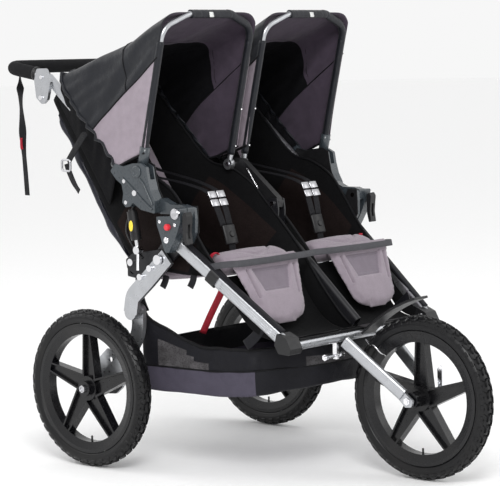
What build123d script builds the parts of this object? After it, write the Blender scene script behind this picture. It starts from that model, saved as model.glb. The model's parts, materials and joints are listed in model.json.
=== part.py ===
from build123d import *
import math
import os

# Side-by-side twin jogging stroller: fixed front wheel, two seats, two canopies, folding frame.
# Millimetres. +Z up, front of the stroller towards -Y, its right-hand side towards -X.
# The parts are laid out about the middle of the wheelbase and moved by MID_SHIFT when written,
# so that the row's origin lies on the ground under the middle of the whole length.

# ---- driving dimensions ----
WHEEL_R = 200.0
TYRE_W = 48.0
TYRE_H = 41.0
REAR_AXLE_Y = 388.0
FRONT_AXLE_Y = -388.0
TRACK_X = 350.0
MID_SHIFT = -55.25
FOLD_Y, FOLD_Z = 59.0, 655.0
REAR_PIVOT_Y, REAR_PIVOT_Z = 150.0, 537.0
BOW_PIVOT_Y, BOW_PIVOT_Z = 192.0, 752.0
BACK_HINGE_Y, BACK_HINGE_Z = 254.0, 505.0
BACK_ANGLE = 56.7
BACK_LENGTH = 500.0
SEAT_X = 175.0
UPPER_TUBE_X = 330.0
TUBE_R = 12.5
TUBE_WALL = 1.6
HANDLE_Y, HANDLE_Z = 681.0, 1008.0
FOAM_R = 17.5
RAIL_W, RAIL_H = 18.0, 32.0
CROSSBAR_Y, CROSSBAR_Z = -207.0, 345.0
FORK_TOP_X = 88.0
FORK_AXLE_X = 57.0
CAM_X = 76.0
SHOCK_X = 352.0
SHOCK_TOP = (230.0, 660.0)
SHOCK_FOOT = (211.0, 558.0)
SHOCK_EYE = (229.0, 676.0)
BOW_OUTER_X, BOW_INNER_X = -355.0, -27.0
BOW_LEAN = (0.0, -90.0, 386.0)
BOW_HEIGHT = 390.0
BOW_R = 7.0
FABRIC = 2.0
RUN_GAP = 0.05


def write(node, *shapes):
    """Write one node: its solids, moved so that the origin is under the object's middle."""
    solids = []
    for shape in shapes:
        solids += list(shape.solids())
    moved = [Pos(0, MID_SHIFT, 0) * solid for solid in solids]
    whole = moved[0] if len(moved) == 1 else Compound(children=moved)
    export_step(whole, f"parts/{node}.step")
    print(node, len(solids), round(sum(solid.volume for solid in solids)))


def both(shape):
    """A part on the right-hand side and its mirror image on the left."""
    return [shape, mirror(shape, about=Plane.YZ)]


def cyl_x(y, z, x0, x1, radius):
    """A round bar along X."""
    return Plane(origin=(x0, y, z), z_dir=(1, 0, 0)) * extrude(Circle(radius), x1 - x0)


def prism_x(outline, x0, x1, rounding=0.0):
    """A plate with its outline given as (y, z) points, from x0 to x1."""
    face = make_face(Polyline([(y, z) for y, z in outline], close=True))
    if rounding:
        face = fillet(face.vertices(), rounding)
    return extrude(Plane(origin=(x0, 0, 0), x_dir=(0, 1, 0), z_dir=(1, 0, 0)) * face, x1 - x0)


def box_at(x, y, z):
    """A block between the low and high values given for each axis."""
    size = [high - low for low, high in (x, y, z)]
    middle = [(high + low) / 2 for low, high in (x, y, z)]
    return Pos(*middle) * Box(*size)


def swept(points, radii, profile, side=(1, 0, 0)):
    """A profile swept along straight runs joined by tangent arcs."""
    if len(points) > 2:
        path = FilletPolyline(*points, radius=radii)
    else:
        path = Line(*points)
    along = path % 0
    start = Plane(origin=path @ 0, x_dir=side, z_dir=along) if side else Plane(path @ 0, z_dir=along)
    return sweep(start * profile, path=path)


def pipe(points, radii, radius, wall, side=(0, 0, 1)):
    """A hollow round tube."""
    solid = swept(points, radii, Circle(radius), side)
    return solid - swept(points, radii, Circle(radius - wall), side) if wall else solid


def along_line(start, end, share):
    """A point part of the way from start to end."""
    return tuple(a + (b - a) * share for a, b in zip(start, end))


def hex_head(y, z, x0, x1, radius):
    """A hexagon head or nut along X."""
    return Plane(origin=(x0, y, z), z_dir=(1, 0, 0)) * extrude(RegularPolygon(radius, 6), x1 - x0)


# ---- wheels ----
def tyre():
    """The outer cover of a wheel, open towards the rim, about the X axis."""
    middle = WHEEL_R - TYRE_H / 2
    half = TYRE_W / 2
    outer = Ellipse(TYRE_H / 2, half)
    inner = Ellipse(TYRE_H / 2 - 4.5, half - 4.5)
    mouth = Pos(-TYRE_H / 2, 0) * Rectangle(12, 2 * half - 8)
    ring = Plane.YX * Pos(middle, 0) * (outer - inner - mouth)
    return revolve(ring, Axis.X)


def inner_tube():
    """The air tube inside the tyre with its valve stem."""
    ring = revolve(Plane.YX * Pos(WHEEL_R - TYRE_H / 2, 0) * (Circle(15.2) - Circle(13.7)), Axis.X)
    stem = Plane(origin=(0, 0, -WHEEL_R + TYRE_H / 2 + 14), z_dir=(0, 0, 1)) * extrude(Circle(2.6), 42)
    return ring + stem


def rim(hub_half, bore):
    """A moulded five-spoke wheel: stepped rim, twin-rib spokes, hub."""
    bed = WHEEL_R - TYRE_H + 5.6
    section = Polyline(
        (bed, -15.5), (bed, -19), (bed - 9, -19), (bed - 28, -13), (bed - 28, 13), (bed - 9, 19),
        (bed, 19), (bed, 15.5), (bed - 7, 11), (bed - 7, -11), close=True,
    )
    body = revolve(Plane.YX * make_face(section), Axis.X)
    body += cyl_x(0, 0, -hub_half, hub_half, 19)
    body += cyl_x(0, 0, -14, 14, 31)
    inner, outer = 20.0, bed - 20
    web = Polyline((inner, -15), (outer, -10), (outer, 10), (inner, 27), close=True)
    rib_a = Polyline((inner, -17), (outer, -12), (outer, -7.5), (inner, -12), close=True)
    rib_b = Polyline((inner, 29), (outer, 12), (outer, 7.5), (inner, 24), close=True)
    for number in range(5):
        turn = Rot(X=18 + 72 * number)
        flat = Plane(origin=(0, 0, 0), x_dir=(0, 1, 0), z_dir=(1, 0, 0))
        body += turn * extrude(flat * make_face(web), 4, both=True)
        for rib in (rib_a, rib_b):
            body += turn * extrude(flat * make_face(rib), 13, both=True)
    holes = cyl_x(0, 0, -hub_half - 1, hub_half + 1, bore)
    holes += Plane(origin=(0, 0, -bed - 2), z_dir=(0, 0, 1)) * extrude(Circle(3.2), 40)
    return body - holes


def write_wheels():
    cover = tyre()
    places = {
        "rear_right": (-TRACK_X, REAR_AXLE_Y, 25.0, 6.0),
        "rear_left": (TRACK_X, REAR_AXLE_Y, 25.0, 6.0),
        "front": (0.0, FRONT_AXLE_Y, 48.0, 5.0),
    }
    air = inner_tube()
    for name, (x, y, hub_half, axle_r) in places.items():
        place = Pos(x, y, WHEEL_R)
        write(f"tyre_{name}", place * cover)
        write(f"wheel_{name}", place * rim(hub_half, axle_r + RUN_GAP))
        write(f"inner_tube_{name}", place * air)


# ---- lower frame ----
RAIL_TOP = (-341.0, 84.0, 574.0)
RAIL_LOW = (-288.0, -193.0, 357.0)


def rail_point(share):
    return along_line(RAIL_TOP, RAIL_LOW, share)


def write_lower_frame():
    oval = SlotOverall(RAIL_H, RAIL_W, rotation=90)
    bore = SlotOverall(RAIL_H - 4, RAIL_W - 4, rotation=90)
    rail = swept([RAIL_TOP, RAIL_LOW], None, oval - bore)
    write("side_rails", *both(rail))

    bar = pipe([(-258, CROSSBAR_Y, CROSSBAR_Z), (258, CROSSBAR_Y, CROSSBAR_Z)], None, 13, 2)
    write("front_crossbar", bar)

    elbow_outline = [(-178, 348), (-186, 378), (-214, 366), (-228, 340), (-222, 326), (-190, 328)]
    elbow = prism_x(elbow_outline, -304, -259, 5)
    elbow -= swept([rail_point(0.8), along_line(RAIL_TOP, RAIL_LOW, 1.0)], None,
                   SlotOverall(RAIL_H + 0.2, RAIL_W + 0.2, rotation=90))
    write("frame_elbows", *both(elbow))

    fork_top = (-FORK_TOP_X, CROSSBAR_Y - 14, CROSSBAR_Z - 11)
    fork_low = (-FORK_AXLE_X, FRONT_AXLE_Y + 16, WHEEL_R + 13)
    arm = swept([fork_top, fork_low], None, SlotOverall(32, 16, rotation=90))
    arm += prism_x(
        [(-362, 232), (-350, 212), (-380, 184), (-398, 186), (-402, 202)],
        -FORK_AXLE_X - 3.5, -FORK_AXLE_X + 3.5, 5,
    )
    arm -= cyl_x(FRONT_AXLE_Y, WHEEL_R, -80, -40, 5 + RUN_GAP)
    arm -= cyl_x(CROSSBAR_Y, CROSSBAR_Z, -200, 0, 13.02)
    write("fork_arms", *both(arm))

    axle = cyl_x(FRONT_AXLE_Y, WHEEL_R, -70, 66, 5)
    nut_right = hex_head(FRONT_AXLE_Y, WHEEL_R, -67, -60.6, 9.5) - cyl_x(FRONT_AXLE_Y, WHEEL_R, -70, -58, 5)
    cam_seat = cyl_x(FRONT_AXLE_Y, WHEEL_R, 60.6, 65, 10) - cyl_x(FRONT_AXLE_Y, WHEEL_R, 58, 70, 5)
    write("front_axle", axle, nut_right, cam_seat)

    # lower half of each fold hinge: two cheeks joined by a web under the fold pin
    cheek = [(46, 668), (72, 668), (80, 648), (128, 646), (126, 610), (112, 574), (98, 556),
             (82, 556), (58, 580), (44, 606), (43, 640)]
    shield = [(46, 668), (72, 668), (80, 648), (124, 646), (122, 624), (112, 600), (104, 574), (97, 560),
              (85, 560), (72, 582), (58, 606), (46, 636)]
    outer = prism_x(shield, -378, -352.5, 3)
    outer -= cyl_x(86, 622, -378.5, -364, 8.1)
    inner = prism_x(cheek, -327.5, -318, 5)
    web = prism_x([(80, 640), (118, 640), (113, 612), (106, 604), (84, 612)], -352.5, -327.5)
    bracket = outer + inner + web
    bracket -= cyl_x(FOLD_Y, FOLD_Z, -380, -316, 6 + RUN_GAP)
    write("lower_hinge_brackets", *both(bracket))

    pin = cyl_x(FOLD_Y, FOLD_Z, -381, -315, 6)
    cap = cyl_x(FOLD_Y, FOLD_Z, -384, -378.5, 13) - cyl_x(FOLD_Y, FOLD_Z, -382, -378, 6)
    centre_pin = cyl_x(FOLD_Y, FOLD_Z, -19, 19, 6)
    write("fold_pins", *both(pin), *both(cap), centre_pin)

    rear_tube = pipe([(-317, BACK_HINGE_Y, BACK_HINGE_Z), (317, BACK_HINGE_Y, BACK_HINGE_Z)], None, 11, 1.6)
    mount = [(130, 609), (168, 560), (272, 522), (272, 488), (240, 484), (150, 512), (101, 551),
             (116, 572)]
    plate = prism_x(mount, -327, -318, 3)
    plate -= cyl_x(BACK_HINGE_Y, BACK_HINGE_Z, -330, -316, 11.02)
    plate -= cyl_x(REAR_PIVOT_Y, REAR_PIVOT_Z, -330, -316, 7 + RUN_GAP)
    write("rear_cross_tube", rear_tube, *both(plate))

    centre = swept([(0, 52, 592), (0, -190, 368)], None, SlotOverall(34, 20, rotation=90) -
                   SlotOverall(30, 16, rotation=90))
    ear = [(46, 668), (72, 668), (76, 640), (64, 598), (44, 598), (42, 640)]
    centre_ear = prism_x(ear, 10.3, 15, 4) - cyl_x(FOLD_Y, FOLD_Z, 8, 20, 6 + RUN_GAP)
    write("centre_rail", centre, *both(centre_ear))

    clamp_low, clamp_high = rail_point(0.30), rail_point(0.38)
    clamp = swept([clamp_low, clamp_high], None, SlotOverall(RAIL_H + 9, RAIL_W + 9, rotation=90) -
                  SlotOverall(RAIL_H + 0.2, RAIL_W + 0.2, rotation=90))
    write("rail_clamps", *both(clamp))

    curve = ThreePointArc((0, -226, 347), (0, -300, 404), (0, -386, 443))
    fender = sweep(Plane(origin=curve @ 0, x_dir=(1, 0, 0), z_dir=curve % 0) * RectangleRounded(56, 6, 2.5),
                   path=curve)
    stay = box_at((-12, 12), (-226, -200), (358.4, 362))
    write("front_fender", fender + stay)
    write("footrest_strip", *both(box_at((-256, -14), (-219, -192), (358.4, 360.8))))
    rivets = [Pos(x, -205, 361) * extrude(Circle(5), 3) for x in (-250, -90, 90, 250)]

    at = (-204, 300)
    bolt = cyl_x(*at, -150, -70, 4)
    nut = hex_head(*at, -146, -138, 8) - cyl_x(*at, -148, -136, 4)
    lug = box_at((-106, -98), (-210, -198), (292, 331.5)) - cyl_x(*at, -108, -96, 4.02)
    nut_b = hex_head(*at, -88, -80, 8) - cyl_x(*at, -90, -78, 4)
    write("frame_fasteners", bolt, nut, lug, nut_b, *rivets)


def write_lower_controls():
    for name, side in (("right", 1), ("left", -1)):
        button = cyl_x(86, 622, -384, -368, 8) + cyl_x(86, 622, -386, -383.5, 6.5)
        lever = prism_x([(33, 660), (41, 652), (40.5, 604), (34, 580), (27, 582), (31, 610), (27, 650)],
                        -376, -354, 2)
        lever -= box_at((-369, -361), (20, 50), (596, 630))
        pieces = {"fold_button": button, "release_lever": lever}
        for node, piece in pieces.items():
            write(f"{node}_{name}", piece if side == 1 else mirror(piece, about=Plane.YZ))
    cam = Plane(origin=(CAM_X, FRONT_AXLE_Y - 7, WHEEL_R), z_dir=(0, 1, 0)) * extrude(Circle(9), 14)
    arm = prism_x([(-394, 205), (-382, 205), (-380, 262), (-386, 270), (-394, 266)], CAM_X - 3, CAM_X + 3, 3)
    write("quick_release_lever", cam + arm)


def write_seats():
    """Seat pads, floor and side fabric that hang from the lower frame."""
    pad = prism_x(
        [(238, 478), (236, 498), (60, 528), (-12, 550), (-34, 546), (-44, 528), (-34, 508), (40, 498)],
        -SEAT_X - 128, -SEAT_X + 128, 4,
    )
    down = Vector(0, -66, -156).normalized()
    face = Plane(origin=(-SEAT_X - 8, -60, 538), x_dir=(1, 0, 0), z_dir=down.cross(Vector(1, 0, 0)))
    flap = face * extrude(fillet(Polygon((-128, 0), (-74, -178), (74, -178), (128, 0), align=None)
                                 .vertices(), 14), 9, both=True)
    write("seat_pad_right", pad)
    write("seat_pad_left", mirror(pad, about=Plane.YZ))
    write("calf_flaps", *both(flap))

    outer_panel = prism_x([(-142, 394), (-138, 362), (-174, 354), (-176, 358)], -262, -259)
    inner_panel = prism_x([(-20, 500), (-50, 440), (-110, 372), (-150, 352), (-176, 352)], -18, -14)
    floor = prism_x([(-110, 366), (-110, 362), (-190, 348), (-190, 352)], -258.5, -18.5)
    write("footwell_fabric", *both(outer_panel), *both(inner_panel), *both(floor))

    strap_low, strap_height, strap_thickness = 530.0, 13.0, 2.0
    half = [(-318, -50), (-306, -78), (-60, -78), (0, -68)]
    line = Polyline(*half, *[(-x, y) for x, y in reversed(half[:-1])])
    strap = Pos(0, 0, strap_low) * extrude(trace(line, strap_thickness), strap_height)
    write("cross_strap", strap)


def write_basket():
    """Storage basket: a fabric tub and the mesh sides above it."""
    plan = [(-284, 262), (-268, -60), (-120, -176), (120, -176), (268, -60), (284, 262)]
    low = make_face(Polyline(plan, close=True))
    tub = extrude(Pos(0, 0, 198) * low, 62)
    tub -= extrude(Pos(0, 0, 200.5) * offset(low, -FABRIC), 62)
    write("basket_tub", tub)
    mesh = extrude(Pos(0, 0, 260.4) * low, 66) - extrude(Pos(0, 0, 259) * offset(low, -FABRIC), 70)
    write("basket_mesh", mesh)
    strap = swept([(-200, 140, 336), (-200, 50, 486)], None, Rectangle(13, 1.6))
    write("fold_strap", strap)


# ---- rear frame ----
def write_rear_frame():
    upper = swept([(-338, 126, 545), (-338, 190, 486), (-338, 244, 440), (-338, 252, 398)], [60, 34],
                  Rectangle(10, 44))
    lower = swept([(-310, 252, 408), (-310, 254, 340), (-310, 318, 262), (-310, 398, 193)], [80, 80],
                  Rectangle(12, 38))
    block = cyl_x(252, 400, -343, -304, 19)
    arm = upper + lower + block
    arm -= cyl_x(REAR_PIVOT_Y, REAR_PIVOT_Z, -350, -330, 7.05)
    arm -= cyl_x(REAR_AXLE_Y, WHEEL_R, -320, -300, 6.02)
    write("swing_arms", *both(arm))

    black = prism_x([(136, 548), (160, 560), (250, 546), (272, 530), (268, 508), (214, 478), (196, 484),
                     (140, 528)], -332.6, -327.6, 6)
    black -= cyl_x(REAR_PIVOT_Y, REAR_PIVOT_Z, -350, -320, 7.02)
    write("pivot_plates", *both(black))

    pivot = cyl_x(REAR_PIVOT_Y, REAR_PIVOT_Z, -346, -316, 7)
    heads = [cyl_x(REAR_PIVOT_Y, REAR_PIVOT_Z, -352, -346.2, 12), cyl_x(179, 514, -350, -343.2, 8),
             cyl_x(212, 491, -350, -343.2, 8), cyl_x(254, 524, -338, -333, 9)]
    write("pivot_bolts", *both(pivot), *[piece for head in heads for piece in both(head)])

    plate = prism_x([(322, 200), (318, 225), (345, 290), (372, 296), (402, 270), (410, 210), (395, 178),
                     (345, 182)], -303.6, -297, 6)
    plate -= cyl_x(REAR_AXLE_Y, WHEEL_R, -310, -290, 12.02)
    plate -= cyl_x(345, 232, -310, -290, 9)
    plate -= cyl_x(362, 268, -310, -290, 7)
    write("axle_plates", *both(plate))

    axle = pipe([(-303.6, REAR_AXLE_Y, WHEEL_R), (303.6, REAR_AXLE_Y, WHEEL_R)], None, 12, 2)
    stub = cyl_x(REAR_AXLE_Y, WHEEL_R, -381, -290, 6)
    nut = hex_head(REAR_AXLE_Y, WHEEL_R, -383, -375.6, 10) - cyl_x(REAR_AXLE_Y, WHEEL_R, -390, -370, 6)
    axle -= cyl_x(REAR_AXLE_Y, WHEEL_R, -310, 310, 6)
    write("rear_axle", axle, *both(stub), *both(nut))

    foot, top = (-SHOCK_X, *SHOCK_FOOT), (-SHOCK_X, *SHOCK_TOP)
    rod = swept([along_line(foot, top, 0.05), along_line(foot, top, 0.60)], None, Circle(5))
    clevis = cyl_x(foot[1], foot[2], -360, -344, 10)
    hook = swept([(-SHOCK_X, 211, 552), (-SHOCK_X, 213, 508)], None, Circle(4))
    write("shock_rods", *both(rod + clevis + hook))
    barrel = swept([along_line(foot, top, 0.24), along_line(foot, top, 0.93)], None, Circle(13))
    barrel += swept([along_line(foot, top, 0.90), along_line(foot, top, 0.975)], None, Circle(9))
    barrel -= swept([along_line(foot, top, 0.20), along_line(foot, top, 0.80)], None, Circle(5.1))
    write("shock_body_right", barrel)
    write("shock_body_left", mirror(barrel, about=Plane.YZ))

    pedal = cyl_x(436, 205, -150, 150, 8)
    for x in (-140, 140):
        ring = cyl_x(REAR_AXLE_Y, WHEEL_R, x - 8, x + 8, 18) - cyl_x(REAR_AXLE_Y, WHEEL_R, x - 9, x + 9, 12.1)
        link = box_at((x - 6, x + 6), (404, 432), (196, 208))
        pedal += ring + link
    write("brake_pedal", pedal)


# ---- upper frame ----
TUBE_TOP = (-UPPER_TUBE_X, 530.0, 980.0)
TUBE_LOW = (-UPPER_TUBE_X, 262.0, 744.0)


def write_upper_frame():
    tube = pipe([TUBE_LOW, TUBE_TOP], None, TUBE_R, TUBE_WALL)
    write("upper_tubes", *both(tube))

    x = UPPER_TUBE_X
    route = [(-x, 536, 984), (-x, HANDLE_Y, HANDLE_Z), (x, HANDLE_Y, HANDLE_Z), (x, 536, 984)]
    bends = [62, 62]
    bar = pipe(route, bends, TUBE_R, TUBE_WALL)
    write("handlebar_tube", bar)
    share = (574 - 536) / (HANDLE_Y - 536)
    start = along_line(route[0], route[1], share)
    end = along_line(route[3], route[2], share)
    grip_route = [start, route[1], route[2], end]
    grip = swept(grip_route, bends, Circle(FOAM_R), (0, 0, 1)) - swept(grip_route, bends, Circle(TUBE_R),
                                                                      (0, 0, 1))
    write("foam_grip", grip)

    gusset = prism_x([(504, 968), (520, 1004), (552, 1004), (562, 975), (556, 930), (534, 912), (516, 926)],
                     -352, -343, 8)
    gusset += prism_x([(514, 972), (526, 996), (548, 998), (554, 976), (534, 962)], -343, -342.6)
    write("handle_gussets", *both(gusset))
    bolts = [cyl_x(538, 930, -356, -352.2, 6), cyl_x(534, 982, -356, -352.2, 5),
             cyl_x(198, 700, -376, -372.2, 7), cyl_x(232, 728, -376, -372.2, 5),
             cyl_x(*SHOCK_EYE, -374, -341, 5),
             cyl_x(BOW_PIVOT_Y, BOW_PIVOT_Z, -374, -341, 6)]
    middle_pin = cyl_x(BOW_PIVOT_Y, BOW_PIVOT_Z, -35, 35, 6)
    write("upper_bolts", *[piece for bolt in bolts for piece in both(bolt)], middle_pin)

    # upper half of each fold hinge: a narrow lobe on the fold pin, widening to carry tube, shock, bow
    lobe = prism_x([(44, 668), (62, 674), (100, 674), (136, 690), (136, 650.2), (76, 650.2), (68, 641),
                    (48, 641)], -352, -328, 4)
    body = prism_x(
        [(134, 652), (134, 684), (147, 708), (155, 736), (160, 764), (178, 773), (206, 772), (236, 764),
         (264, 770), (280, 752), (262, 732), (243, 720), (238, 698), (242, 676), (231, 664), (217, 666),
         (206, 676), (180, 660)],
        -372, -343.2, 3,
    )
    bow_slot = prism_x([(150, 734), (190, 731), (320, 738), (320, 800), (150, 800)],
                       BOW_OUTER_X - 7.5, BOW_OUTER_X + 7.5)
    arm = lobe + body - bow_slot
    arm -= cyl_x(FOLD_Y, FOLD_Z, -360, -320, 6 + RUN_GAP)
    arm -= cyl_x(BOW_PIVOT_Y, BOW_PIVOT_Z, -380, -340, 6 + RUN_GAP)
    arm -= cyl_x(*SHOCK_EYE, -380, -340, 5 + RUN_GAP)
    write("upper_hinge_arms", *both(arm))

    centre = prism_x([(44, 660), (50, 670), (166, 766), (204, 766), (212, 742), (190, 728), (76, 648),
                      (60, 640), (46, 644)], -9.5, 9.5, 4)
    centre -= cyl_x(FOLD_Y, FOLD_Z, -12, 12, 6 + RUN_GAP)
    centre -= cyl_x(BOW_PIVOT_Y, BOW_PIVOT_Z, -12, 12, 6 + RUN_GAP)
    write("centre_arm", centre)

    drop = [(-270, 700, 1000), (-271, 701, 935), (-267, 699.5, 870), (-265, 701, 805),
            (-260, 700, 740), (-256, 699.5, 670)]
    radii = []
    for before, corner, after in zip(drop, drop[1:], drop[2:]):
        run_in, run_out = Vector(corner) - Vector(before), Vector(after) - Vector(corner)
        turn = math.radians(run_in.get_angle(run_out))
        radii.append(0.45 * min(run_in.length, run_out.length) / math.tan(turn / 2))
    print("wrist strap bend radii", [round(radius) for radius in radii])
    strap = swept(drop, radii, Rectangle(20, 2))
    write("wrist_strap", strap)


def write_seat_backs():
    """Reclined padded backs with a storage pocket behind each."""
    turn = math.radians(BACK_ANGLE)
    up = Vector(0, math.cos(turn), math.sin(turn))
    behind = Vector(0, math.sin(turn), -math.cos(turn))
    start = Vector(-SEAT_X, BACK_HINGE_Y, BACK_HINGE_Z) + up * (BACK_LENGTH / 2 + 12)
    plane = Plane(origin=start, x_dir=(1, 0, 0), z_dir=behind)
    board = plane * Box(258, BACK_LENGTH, 20)
    pocket = plane * Pos(0, -20, 25.2) * Box(240, 360, 30)
    write("seat_back_right", board, pocket)
    write("seat_back_left", mirror(board, about=Plane.YZ), mirror(pocket, about=Plane.YZ))


def write_harness():
    """Shoulder, waist and crotch webbing closed at the buckle above each seat."""
    buckle_at = (-SEAT_X, 66.0, 590.0)
    buckle = Pos(*buckle_at) * Rot(X=-20) * Box(46, 12, 52)
    crotch = swept([(-SEAT_X, 58, 531.5), (-SEAT_X, 64, 562)], None, Rectangle(24, 2))
    solids = [crotch, buckle]
    for side in (-1, 1):
        start = (-SEAT_X + 14 * side, 72, 618)
        end = (-SEAT_X + 52 * side, 392, 740)
        solids.append(swept([start, end], None, Rectangle(22, 2)))
    for name, flip in (("right", False), ("left", True)):
        pieces = [mirror(piece, about=Plane.YZ) if flip else piece for piece in solids]
        write(f"harness_{name}", *pieces)


def write_canopies():
    """Each canopy: a bent bow on two foot hubs and the fabric hood stretched over it."""
    foot = Vector(0, BOW_PIVOT_Y, BOW_PIVOT_Z)
    top = foot + Vector(*BOW_LEAN).normalized() * BOW_HEIGHT
    shoulder = foot + Vector(*BOW_LEAN).normalized() * (BOW_HEIGHT - 34)
    x0, x1 = BOW_OUTER_X, BOW_INNER_X
    route = [(x0, foot.Y, foot.Z), (x0, shoulder.Y, shoulder.Z), (x0 + 86, top.Y, top.Z),
             (x1 - 86, top.Y, top.Z), (x1, shoulder.Y, shoulder.Z), (x1, foot.Y, foot.Z)]
    bow = swept(route, [44, 70, 70, 44], Circle(BOW_R))
    for x in (x0, x1):
        bow += cyl_x(foot.Y, foot.Z, x - 6.5, x + 6.5, 14)
    bow -= cyl_x(foot.Y, foot.Z, x0 - 20, x1 + 20, 6 + RUN_GAP)

    outline = [(176, 798), (96, 1136), (112, 1143), (455, 990), (478, 958), (466, 930), (306, 798)]
    inside = [(220, 700), (150, 798), (60, 1140.6), (112, 1140.6), (454, 987.6), (475.5, 957.5), (500, 957),
              (500, 700)]
    outer = prism_x(outline, x0 - 10.2, x1 + 10.2)
    inner = prism_x(inside, x0 - 10.2 + FABRIC, x1 + 10.2 - FABRIC)
    hood = round_long_edges(outer, 60) - round_long_edges(inner, 60 - FABRIC)
    write("canopy_bow_right", bow)
    write("canopy_bow_left", mirror(bow, about=Plane.YZ))
    write("canopy_hood_right", hood)
    write("canopy_hood_left", mirror(hood, about=Plane.YZ))


def round_long_edges(solid, radius):
    """Round the two long upper edges of a hood, where its top meets its sides."""
    box = solid.bounding_box()
    edges = [edge for edge in solid.edges() if edge.length > 300 and edge.center().Z > 1040
             and min(abs(edge.center().X - box.min.X), abs(edge.center().X - box.max.X)) < 0.1
             and abs(edge.tangent_at(0.5).Y) > 0.8]
    return fillet(edges, radius)


os.makedirs("parts", exist_ok=True)
write_wheels()
write_lower_frame()
write_lower_controls()
write_seats()
write_basket()
write_rear_frame()
write_upper_frame()
write_seat_backs()
write_harness()
write_canopies()
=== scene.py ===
import json
import math

import bpy
from mathutils import Matrix, Vector, noise


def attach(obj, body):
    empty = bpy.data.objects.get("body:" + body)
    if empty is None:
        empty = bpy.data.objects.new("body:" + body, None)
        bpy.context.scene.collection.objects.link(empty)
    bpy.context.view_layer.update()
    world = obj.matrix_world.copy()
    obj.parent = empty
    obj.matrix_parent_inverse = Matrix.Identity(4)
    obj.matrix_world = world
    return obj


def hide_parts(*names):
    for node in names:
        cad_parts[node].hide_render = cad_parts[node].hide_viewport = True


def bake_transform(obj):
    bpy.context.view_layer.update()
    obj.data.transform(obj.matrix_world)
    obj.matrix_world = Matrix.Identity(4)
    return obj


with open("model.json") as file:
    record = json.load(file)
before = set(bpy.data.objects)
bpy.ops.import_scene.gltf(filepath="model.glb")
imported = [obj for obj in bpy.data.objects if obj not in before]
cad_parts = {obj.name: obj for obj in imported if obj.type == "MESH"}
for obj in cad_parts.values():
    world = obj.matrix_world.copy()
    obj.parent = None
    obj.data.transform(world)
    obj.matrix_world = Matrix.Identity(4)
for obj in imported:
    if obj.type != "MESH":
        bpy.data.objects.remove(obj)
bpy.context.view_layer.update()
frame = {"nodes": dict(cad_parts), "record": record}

NODES = frame["nodes"]
MID_SHIFT = -55.25                      # mm, how far the CAD moved its layout along Y
BOTH = (("right", 1), ("left", -1))     # the stroller's own sides: its right is towards -X
BACK_HINGE = (254.0, 505.0)
BACK_ANGLE = math.radians(56.7)
FRONT_AXLE, REAR_AXLE = (-388.0, 200.0), (388.0, 200.0)
TRACK_X = 350.0


# ---- points, paths and meshes ----
def at(x, y, z):
    """A layout point in millimetres as a point of the row frame in metres."""
    return Vector((x, y + MID_SHIFT, z)) / 1000


def points(*rows):
    return [at(*row) for row in rows]


def flip(path, side):
    """The same points on the other side of the stroller when side is -1."""
    return [Vector((p.x * side, p.y, p.z)) for p in path]


def curve_through(path, steps=6, closed=False):
    """A smooth path through the given points (Catmull-Rom)."""
    count = len(path)
    out = []
    for i in range(count if closed else count - 1):
        p1, p2 = path[i], path[(i + 1) % count]
        p0 = path[i - 1] if closed or i > 0 else p1 * 2 - p2
        p3 = path[(i + 2) % count] if closed or i + 2 < count else p2 * 2 - p1
        for k in range(steps):
            t = k / steps
            out.append(0.5 * (2 * p1 + (p2 - p0) * t + (2 * p0 - 5 * p1 + 4 * p2 - p3) * t * t
                              + (3 * p1 - p0 - 3 * p2 + p3) * t ** 3))
    if not closed:
        out.append(path[-1].copy())
    return out


def along(path, share):
    """The point at a share of a path's length."""
    lengths = [(b - a).length for a, b in zip(path, path[1:])]
    left = share * sum(lengths)
    for (a, b), length in zip(zip(path, path[1:]), lengths):
        if left <= length:
            return a.lerp(b, left / length if length else 0)
        left -= length
    return path[-1].copy()


def mesh_piece(name, verts, faces, mats, picks=None, smooth=True):
    """A mesh object from points and faces; picks gives each face's material number."""
    mesh = bpy.data.meshes.new(name)
    mesh.from_pydata([tuple(v) for v in verts], [], faces)
    mesh.validate()
    for mat in mats if isinstance(mats, (list, tuple)) else [mats]:
        mesh.materials.append(mat)
    if picks:
        for polygon, pick in zip(mesh.polygons, picks):
            polygon.material_index = pick
    mesh.polygons.foreach_set("use_smooth", [smooth] * len(mesh.polygons))
    mesh.update()
    piece = bpy.data.objects.new(name, mesh)
    bpy.context.scene.collection.objects.link(piece)
    return piece


def bake(piece):
    """Apply every modifier of a piece to its mesh."""
    bpy.context.view_layer.update()
    graph = bpy.context.evaluated_depsgraph_get()
    mesh = bpy.data.meshes.new_from_object(piece.evaluated_get(graph))
    piece.modifiers.clear()
    piece.data = mesh
    return piece


def refine(piece):
    modifier = piece.modifiers.new("subdivision", "SUBSURF")
    modifier.levels = modifier.render_levels = 1
    return bake(piece)


def thicken(piece, thickness, inner=0):
    """Give a sheet its thickness; inner steps on to the materials of its inside."""
    modifier = piece.modifiers.new("thickness", "SOLIDIFY")
    modifier.thickness = thickness
    modifier.offset = -1
    modifier.material_offset = inner
    return bake(piece)


def rounded(piece, width, segments=2):
    modifier = piece.modifiers.new("bevel", "BEVEL")
    modifier.width = width
    modifier.segments = segments
    modifier.limit_method = "ANGLE"
    modifier.angle_limit = math.radians(35)
    return bake(piece)


def finish_off(piece, body, slot=None, replaces=()):
    """Ride the piece on its CAD body and hide the CAD parts it replaces; its slot, its material's own unless
    another is named, is worked out but not kept.
    """
    slot or SLOT_NAMES[piece.data.materials[0].name]
    if replaces:
        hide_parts(*replaces)
    if body:
        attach(piece, body)
    return piece


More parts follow.
